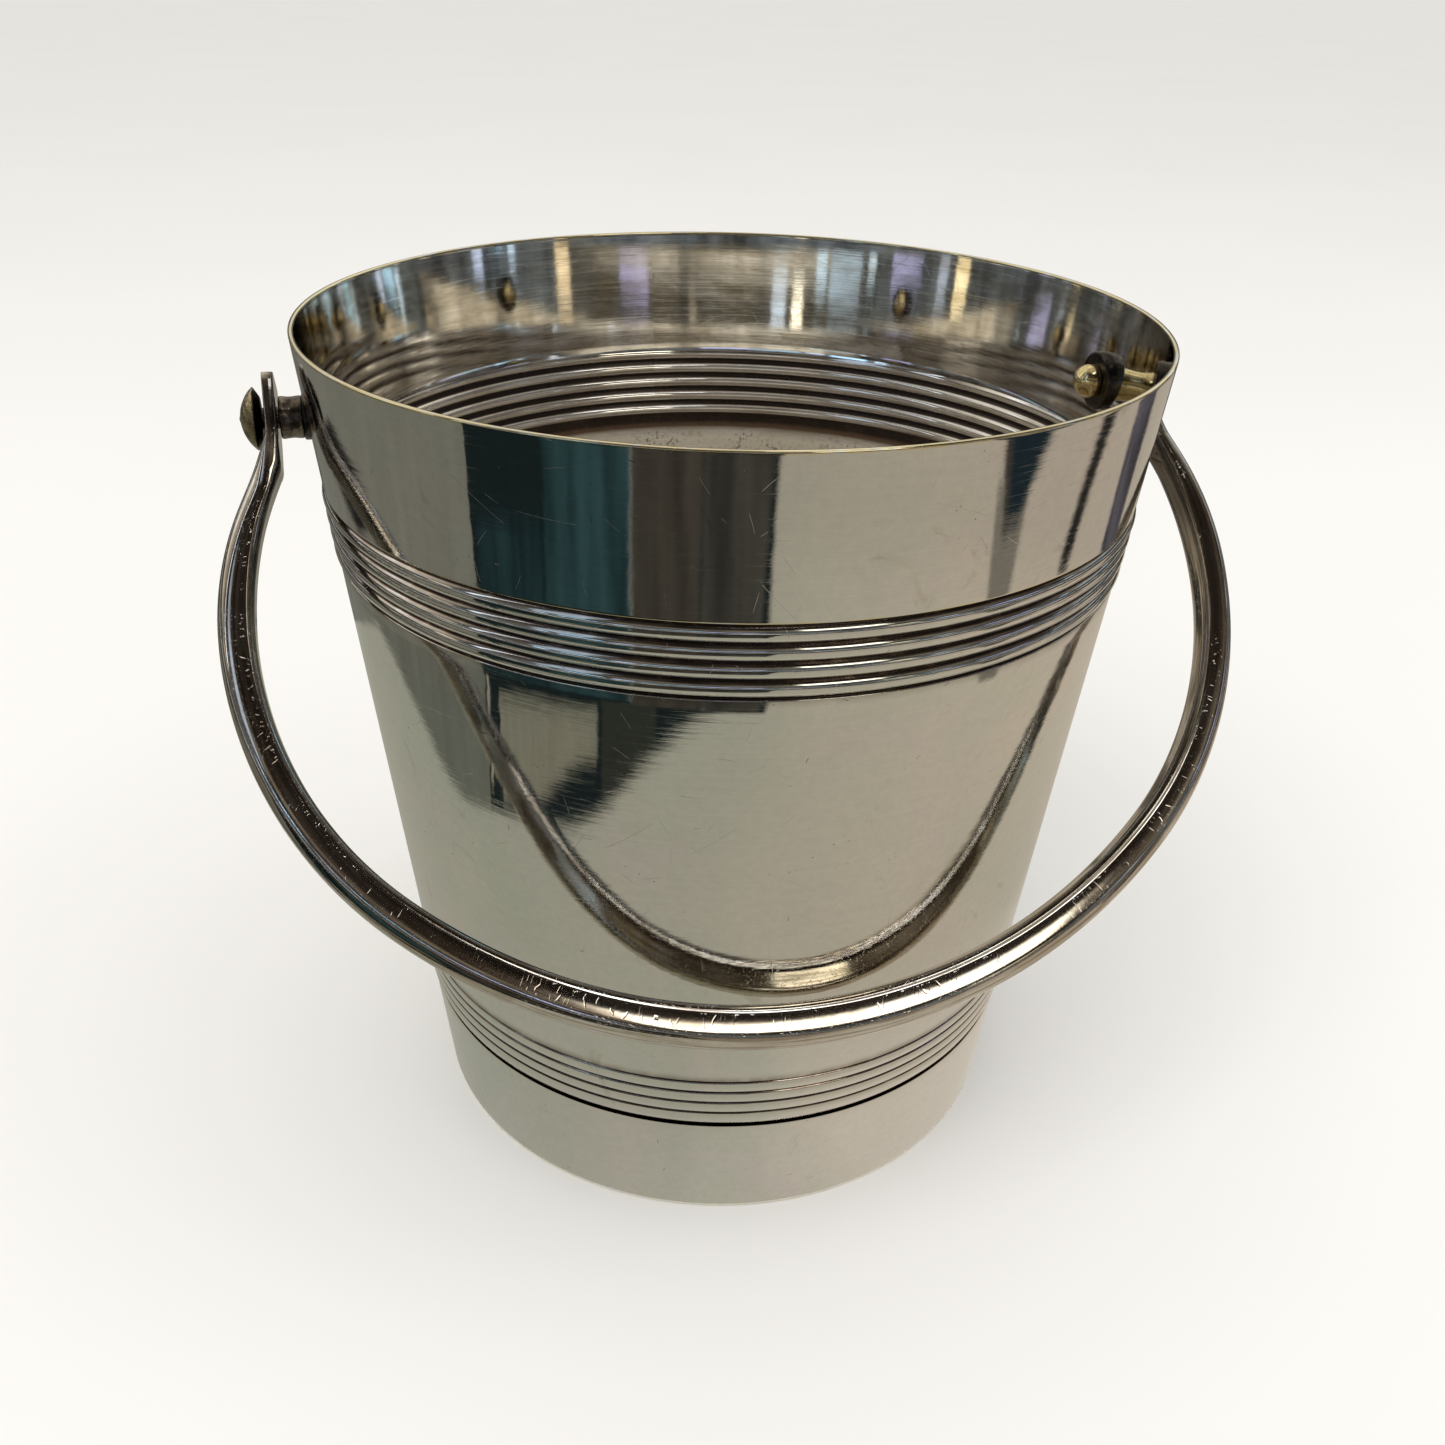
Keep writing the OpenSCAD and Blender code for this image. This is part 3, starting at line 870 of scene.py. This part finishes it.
def handle_silver():
    """Rubbed bar with brown tarnish, darkened overall and on its inner flat and ears as painted shade, and
    short bright nicks along it, partly painted glints.
    """
    m = Paint("silver_handle")
    spot = m.place()
    streaks = m.noise(m.place((0.03, 0.9, 1.0), uv="along"), 1.0, 4.0, 0.6)
    ripple = m.noise(m.place((0.06, 0.35, 1.0), uv="along"), 1.0, 2.0, 0.5)
    cloud = m.noise(spot, 0.05, 4.0, 0.6, 0.5)
    fine = m.noise(spot, 0.9, 5.0, 0.7)
    flat = m.place(uv="along")
    nicks = m.maths("MAXIMUM", m.strokes(flat, 1.7, 1.2, 0.12, 0.3, 2.0, 0.6),
                    m.strokes(flat, 1.0, 0.6, 0.12, 1.0, 3.0, 0.5))
    nicks = m.times(nicks, m.span(cloud, 0.42, 0.56, 0.1, 1.0))
    # the bar's colour is darker than the body's: brown tarnish, and painted shade for the dark room it
    # mirrors
    base = m.mix(m.span(cloud, 0.35, 0.65), (0.60, 0.54, 0.455), (0.79, 0.75, 0.68))
    base = m.mix(m.times(m.span(streaks, 0.45, 0.62), 0.7), base, (0.30, 0.225, 0.165))
    base = m.mix(m.times(m.span(fine, 0.58, 0.72), 0.35), base, (0.22, 0.165, 0.12))
    # painted shade on the inner flat and the ears
    base = m.mix(m.times(m.mark("grime_and_shade"), 0.85), base, (0.085, 0.08, 0.075))
    # bright nicks: scratches through the tarnish, lightened as painted glints
    base = m.mix(m.times(nicks, 0.12), base, (0.96, 0.94, 0.89))
    rough = m.add(0.06, m.times(m.span(streaks, 0.4, 0.8), 0.07), m.times(m.span(fine, 0.5, 0.8), 0.06))
    lift = m.add(m.times(ripple, 0.02), m.times(fine, 0.001), m.times(nicks, -0.014), m.times(cloud, 0.04))
    return m.metal(base, rough, lift, 0.2, 0.0)


def aged_metal(name, light, dark, spots, rough_low, rough_high, size, dents):
    """Small turned parts: mottled colour, dark specks and a hammered surface."""
    m = Paint(name)
    spot = m.place()
    mottle = m.noise(spot, size, 5.0, 0.65, 0.7)
    speck = m.span(m.noise(spot, size * 5, 4.0, 0.7), 0.56, 0.68)
    base = m.mix(m.span(mottle, 0.35, 0.65), dark, light)
    base = m.mix(m.times(speck, 0.75), base, spots)
    # painted shade where a part carries the darkening mark, as on the pins' undersides
    base = m.mix(m.times(m.mark("grime_and_shade"), 0.9), base, HOLLOW_DARK_AND_SHADE)
    rough = m.add(m.span(mottle, 0.3, 0.7, rough_high, rough_low), m.times(speck, 0.12))
    lift = m.add(m.times(mottle, dents), m.times(speck, -0.01))
    lift = m.add(lift, m.times(m.noise(spot, 1.6, 3.0), dents * 0.25))
    return m.metal(base, rough, lift)


def make_materials():
    return {
        "silver_body": silver("silver_body"),
        "silver_foot": silver("silver_foot"),
        "silver_handle": handle_silver(),
        "worn_brass": aged_metal("worn_brass", (0.55, 0.46, 0.27), (0.27, 0.21, 0.11),
                                 (0.08, 0.06, 0.04), 0.14, 0.34, 0.4, 0.10),
        "dark_collar": aged_metal("dark_collar", (0.22, 0.18, 0.14), (0.06, 0.05, 0.045),
                                  (0.02, 0.018, 0.016), 0.16, 0.36, 0.35, 0.02),
        "dark_washer": aged_metal("dark_washer", (0.09, 0.08, 0.07), (0.028, 0.025, 0.024),
                                  (0.012, 0.01, 0.01), 0.14, 0.34, 0.3, 0.015),
        "bright_brass": aged_metal("bright_brass", (0.86, 0.74, 0.42), (0.66, 0.52, 0.24),
                                   (0.20, 0.14, 0.07), 0.06, 0.16, 0.35, 0.03),
    }


# ---------------------------------------------------------------- pieces

MATERIALS = make_materials()


def finish_piece(piece, body, slot, *nodes):
    piece.data.materials.clear()
    piece.data.materials.append(MATERIALS[slot])
    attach(piece, body)
    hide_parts(*nodes)


def make_pieces():
    finish_piece(make_bucket(), "bucket", "silver_body", "bucket_shell")
    finish_piece(make_foot(), "bucket", "silver_foot", "foot_ring")
    finish_piece(make_handle(), "handle", "silver_handle", "bail_handle")
    for side, hand in ((-1, "left"), (1, "right")):
        finish_piece(make_pin(side, "pin_" + hand), "bucket", "worn_brass", "pivot_pin_" + hand)
        finish_piece(make_collar(side, "spacer_" + hand), "bucket", "dark_collar", "collar_" + hand)
        saddle = make_washer(side, "saddle_" + hand, *SADDLE_BOX, False)
        finish_piece(saddle, "bucket", "dark_washer", "outer_washer_" + hand)
        backing = make_washer(side, "backing_" + hand, *BACKING_BOX, True)
        finish_piece(backing, "bucket", "dark_washer", "inner_washer_" + hand)
        finish_piece(make_nut(side, "nut_" + hand), "bucket", "bright_brass", "dome_nut_" + hand)


# ---------------------------------------------------------------- stage

def glowing(name, colour, stripes=0.0):
    """A card's own light, with soft stripes that run away from the bucket."""
    m = Paint(name)
    if stripes:
        x, y = m.split(m.place())[:2]
        angle = m.maths("ARCTAN2", x, y)
        far = m.reach(x, y)
        way = m.node("ShaderNodeCombineXYZ", {0: m.times(angle, 11.0), 1: m.times(far, 0.004)}).outputs[0]
        tone = m.span(m.noise(way, 1.0, 4.0, 0.6), 0.3, 0.7, 1 - stripes, 1 + stripes)
        colour = m.scaled(colour, tone)
    return m.finish(m.node("ShaderNodeEmission", {"Color": colour}))


def floor_paint():
    m = Paint("pale_floor")
    tone = m.mix(m.noise(m.place((0.004, 0.004, 0.004)), 1.0, 2.0), (0.80, 0.79, 0.77),
                 (0.83, 0.82, 0.80))
    inputs = {"Base Color": tone, "Roughness": 0.9, "Specular IOR Level": 0.0}
    return m.finish(m.node("ShaderNodeBsdfPrincipled", inputs))


def ground_paint():
    """A glowing stand-in for worn pale stone as the metal sees it, a painted reflection of the lit floor:
    greener to the left, warmer and lighter to the right, lightest close to the foot."""
    m = Paint("card_ground")
    spot = m.place()
    x, y = m.split(spot)[:2]
    far = m.reach(x, y)
    cloud = m.noise(spot, 0.006, 4.0, 0.6, 0.5)
    side = m.add(x, m.times(m.less(cloud, 0.5), 260.0))
    tone = m.mix(m.span(side, -260.0, 330.0), (0.35, 0.35, 0.29), (0.54, 0.475, 0.385))
    tone = m.mix(m.times(m.span(far, 300.0, 420.0), 0.45), tone, (0.36, 0.31, 0.265))
    foot = m.mix(m.span(side, -90.0, 90.0), (0.38, 0.385, 0.345), (0.80, 0.735, 0.66))
    tone = m.mix(m.times(m.span(far, 150.0, 85.0), 0.5), tone, foot)
    tone = m.mix(m.span(far, 700.0, 1000.0), tone, (0.07, 0.06, 0.05))
    return m.finish(m.node("ShaderNodeEmission", {"Color": tone}))


def mirror_only(card):
    card.visible_camera = False
    card.visible_diffuse = False
    card.visible_shadow = False


# The cards are laid out for a camera 16 degrees round, and turned to this one.
CARD_TURN = 16.0 - VIEW_TURN


def card(name, colour, start, end, near, far, slant=(0, 0), height=2.0, stripes=0.0):
    """A flat shape on the ground, seen only in reflections. start and end are
    angles in degrees from -X towards -Y, slant is what is added to them at the
    far edge, and near and far are radii or functions of the angle. stripes is
    how much its tone varies across."""
    points, faces = [], []
    steps = max(2, round(abs(end - start) / 1.5))
    rows = 6
    for k in range(steps + 1):
        angle = blend(start, end, k / steps)
        low = near(angle) if callable(near) else near
        high = far(angle) if callable(far) else far
        for row in range(rows + 1):
            share = row / rows
            a = math.radians(angle + CARD_TURN + blend(slant[0], slant[1], k / steps) * share)
            r = blend(low, high, share)
            points.append((-r * math.cos(a), -r * math.sin(a), height))
    for k in range(steps):
        for row in range(rows):
            spot = k * (rows + 1) + row
            faces.append((spot, spot + rows + 1, spot + rows + 2, spot + 1))
    made = make_piece("card_" + name, points, faces)
    made.data.materials.append(glowing("card_" + name, colour, stripes))
    mirror_only(made)


def blob_near(angle):
    """Inner edge of the dark shape that the front wall mirrors."""
    return 202 + 74 * ease((angle - 32) / 48) + 130 * ease((4 - angle) / 55)


def patch_near(angle):
    """Inner edge of the light patch in it."""
    return 208 + 28 * ease((angle - 22) / 20)


def make_cards():
    ground = card_disc("card_ground", 60, 4000, 1.0)
    ground.data.materials.append(ground_paint())
    mirror_only(ground)
    # front left: a grey floor, then the dark blob with what shows in it
    card("left_far", (0.18, 0.180, 0.152), -80, 10.5, 310, 900, stripes=0.06)
    card("left_near", (0.135, 0.138, 0.115), -50, 11, blob_near, 340, stripes=0.1)
    card("black", (0.0095, 0.0155, 0.0165), 10.5, 84, blob_near, 900, (0, 4), 3.0)
    card("line", (0.30, 0.28, 0.22), 11.2, 12.0, 215, 290, height=4.0)
    card("patch", (0.20, 0.195, 0.15), 15, 43, patch_near, 266, height=4.0, stripes=0.12)
    card("green", (0.028, 0.031, 0.026), 44.2, 58, blob_near, 290, height=4.0)
    card("teal", (0.023, 0.050, 0.056), 31, 51.6, 310, 800, height=4.0, stripes=0.45)
    card("teal_low", (0.012, 0.026, 0.030), 12, 31, 310, 390, height=4.0, stripes=0.6)
    card("gleam", (0.16, 0.17, 0.16), 51.6, 52.2, 300, 800, height=5.0)
    card("brown", (0.048, 0.042, 0.034), 52.2, 68, 290, 800, height=4.0, stripes=0.4)
    card("dark", (0.047, 0.044, 0.037), 68.4, 82, 280, 560, (0, 4), 4.0, stripes=0.4)
    # far left and right
    card("corner", (0.016, 0.015, 0.014), -38, -24, 392, 545, (-23, -21), 5.0)
    card("wedge", (0.012, 0.022, 0.028), 143.4, 146.8, 408, 620, (-8, 15))
    card("wedge_brown", (0.055, 0.048, 0.04), 142.6, 144.6, 400, 620, (-7.5, -6.5))
    card("shade", (0.20, 0.18, 0.15), 142.0, 147.6, 300, 450, (-3, 2), 1.6)
    card("strands", (0.022, 0.021, 0.019), 166.0, 170.0, 372, 640, (10.5, 11.5))
    card("strand_b", (0.06, 0.055, 0.05), 170.2, 171, 390, 600, (8.5, 8.5))
    card("band", (0.075, 0.068, 0.080), 189, 199, 380, 760, (3, 5), stripes=0.6)
    # behind
    card("back_a", (0.05, 0.05, 0.052), 222, 236, 230, 900, stripes=0.4)
    card("back_b", (0.14, 0.12, 0.10), 252, 263, 330, 900, stripes=0.4)
    card("back_c", (0.03, 0.032, 0.034), 282, 290, 300, 900, (4, 6), stripes=0.4)


def card_disc(name, inner, outer, height):
    """A flat ring round the bucket."""
    points, faces = [], []
    for radius in (inner, outer):
        for k in range(72):
            a = 2 * math.pi * k / 72
            points.append((radius * math.cos(a), radius * math.sin(a), height))
    for k in range(72):
        n = (k + 1) % 72
        faces.append((k, k + 72, n + 72, n))
    return make_piece(name, points, faces)


def soft_light(name, place, size, power, colour):
    """A square lamp that looks at the bucket's foot and isn't mirrored in it."""
    light = bpy.data.lights.new(name, "AREA")
    light.shape = "SQUARE"
    light.size = size
    light.energy = power
    light.color = colour
    lamp = bpy.data.objects.new(name, light)
    lamp.location = place
    lamp.rotation_euler = (-Vector(place)).to_track_quat("-Z", "Y").to_euler()
    lamp.visible_glossy = False
    bpy.context.collection.objects.link(lamp)


# Windows of the room: the middle in degrees from +Y towards +X, half the
# width, the lowest and highest elevation, and the colour.
WINDOWS = [
    (-152, 8, 10.0, 12.4, (0.5, 0.8, 1.1)), (-128, 6, 10.4, 13.4, (0.9, 1.5, 2.2)),
    (-117, 2, 9.8, 13.4, (1.1, 1.5, 2.0)), (-86, 4, 9.6, 11.9, (1.5, 1.25, 0.85)),
    (-44, 8, 11.3, 12.2, (0.75, 0.75, 1.35)), (-10, 2, 9.4, 11.4, (0.5, 0.45, 0.36)),
    (40, 4, 10, 12.4, (0.9, 1.1, 1.35)), (51, 3, 9.9, 11.7, (3.0, 2.9, 2.5)),
    (64, 3, 11.8, 13.6, (1.0, 1.35, 1.7)), (78, 9, 10.8, 13.6, (0.55, 0.72, 0.90)),
    (93, 2, 11.6, 13.6, (1.3, 1.7, 2.1)), (114, 9, 10.9, 13.6, (0.7, 0.75, 1.3)),
    (136, 3, 9, 12.0, (0.6, 0.7, 0.9)), (148, 4, 8, 10.4, (1.8, 1.55, 1.0)),
    (-168, 8, 9, 12, (0.75, 0.8, 1.35)), (-139, 3, 8, 12, (0.9, 1.1, 1.6)),
    (161, 12, 25, 37, (3.0, 2.85, 2.5)), (180, 80, 63, 69, (3.2, 3.3, 3.4)),
    (-60, 2, 20, 70, (1.4, 1.5, 1.7)), (20, 3, 25, 60, (1.3, 1.25, 1.1)),
    (-95, 1.5, 16, 60, (1.6, 1.8, 2.1)), (-120, 8, 20, 50, (0.5, 0.6, 0.75)),
]


def make_world():
    """Soft even light, and a dim warm room with tall windows that only the
    polished metal sees, brighter behind the bucket than in front of it."""
    m = Paint("studio", world=True)
    way = m.node("ShaderNodeTexCoord").outputs["Generated"]
    x, y, z = m.split(way)[:3]
    azimuth = m.times(m.maths("ARCTAN2", x, y), math.degrees(1))
    level = m.times(m.maths("ARCSINE", z), math.degrees(1))
    flat = m.reach(x, y)
    ring = m.node("ShaderNodeCombineXYZ", {0: m.maths("DIVIDE", x, flat),
                                           1: m.maths("DIVIDE", y, flat), 2: m.times(level, 0.006)})
    walls = m.noise(ring.outputs[0], 4.5, 5.0, 0.65)
    # dim warm walls, cooler near the ground, and light behind the bucket
    room = m.mix(m.span(walls, 0.38, 0.62), (0.022, 0.017, 0.014), (0.115, 0.092, 0.072))
    cool = m.mix(m.span(walls, 0.35, 0.6), (0.045, 0.05, 0.055), (0.15, 0.172, 0.19))
    room = m.mix(m.span(level, 18.0, 13.0), room, cool)
    behind = m.times(m.span(y, -0.1, 0.4), m.span(level, 1.0, 9.0),
                     m.span(walls, 0.3, 0.6, 0.35, 1.0))
    glow = m.mix(m.span(level, 11.8, 13.2), (0.10, 0.09, 0.07), (0.95, 0.90, 0.78))
    room = m.mix(behind, room, glow)
    # dark high up in front, under a lighter ceiling, with haze lower down
    dark = m.times(m.span(y, -0.1, -0.3), m.span(level, 35.0, 42.0))
    room = m.mix(m.times(dark, 0.7), room, (0.012, 0.010, 0.009))
    room = m.mix(m.span(level, 60.0, 82.0), room, (0.42, 0.385, 0.33))
    haze = m.times(m.span(y, -0.2, -0.5), m.span(level, 20.0, 24.0), m.span(level, 35.0, 31.0))
    room = m.mix(m.times(haze, m.span(walls, 0.35, 0.6, 0.4, 1.0)), room, (0.22, 0.195, 0.155))
    for middle, half, low, high, colour in WINDOWS:
        away = m.maths("ABSOLUTE", m.less(azimuth, float(middle)))
        soft = 0.15 * (high - low)
        pane = m.times(m.span(away, half + 0.8, half - 0.8), m.span(level, low - 0.5, low + 0.5),
                       m.span(level, high + soft, high - soft))
        room = m.mix(pane, room, colour)
    # only polished metal sees the room: everything else sees an even pale light
    path = m.node("ShaderNodeLightPath")
    seen = m.node("ShaderNodeBackground", {"Color": room, "Strength": 1.0})
    soft = m.node("ShaderNodeBackground", {"Color": (1.0, 0.99, 0.97), "Strength": 0.95})
    both = m.node("ShaderNodeMixShader", {0: path.outputs["Is Glossy Ray"], 1: soft.outputs[0],
                                          2: seen.outputs[0]})
    m.node("ShaderNodeOutputWorld", {"Surface": both.outputs[0]})
    m.owner.cycles.sampling_method = "NONE"
    bpy.context.scene.world = m.owner


def make_stage():
    reach = 12000
    corners = [(x * reach, y * reach, -0.05) for x, y in ((-1, -1), (1, -1), (1, 1), (-1, 1))]
    floor = make_piece("floor", corners, [(0, 1, 2, 3)])
    floor.data.materials.append(floor_paint())
    make_cards()
    make_world()
    soft_light("key", (-0.9, -0.8, 1.6), 1.2, 14, (1.0, 0.98, 0.95))
    soft_light("fill", (1.3, -0.6, 1.2), 1.4, 6, (0.95, 0.97, 1.0))


# ---------------------------------------------------------------- camera

def make_camera():
    """Stands front left and above, looking down at the bucket."""
    azimuth = math.radians(VIEW_TURN)
    elevation = math.radians(VIEW_DOWN)
    roll = math.radians(VIEW_ROLL)
    back = Vector((-math.sin(azimuth) * math.cos(elevation),
                   -math.cos(azimuth) * math.cos(elevation),
                   math.sin(elevation)))
    right = Vector((math.cos(azimuth), -math.sin(azimuth), 0.0))
    up = back.cross(right)
    turned_right = right * math.cos(roll) + up * math.sin(roll)
    turned_up = up * math.cos(roll) - right * math.sin(roll)
    stand = Vector((-VIEW_DISTANCE * math.sin(azimuth), -VIEW_DISTANCE * math.cos(azimuth),
                    VIEW_HEIGHT))
    data = bpy.data.cameras.new("camera")
    data.sensor_width = SENSOR
    data.lens = LENS
    camera = bpy.data.objects.new("camera", data)
    axes = Matrix((turned_right, turned_up, back)).transposed().to_4x4()
    camera.matrix_world = Matrix.Translation(stand * MM) @ axes
    bpy.context.collection.objects.link(camera)
    bpy.context.scene.camera = camera


make_pieces()
make_stage()
make_camera()
bpy.context.scene.view_settings.view_transform = "Standard"
bpy.context.scene.cycles.max_bounces = 14
bpy.context.scene.cycles.glossy_bounces = 10
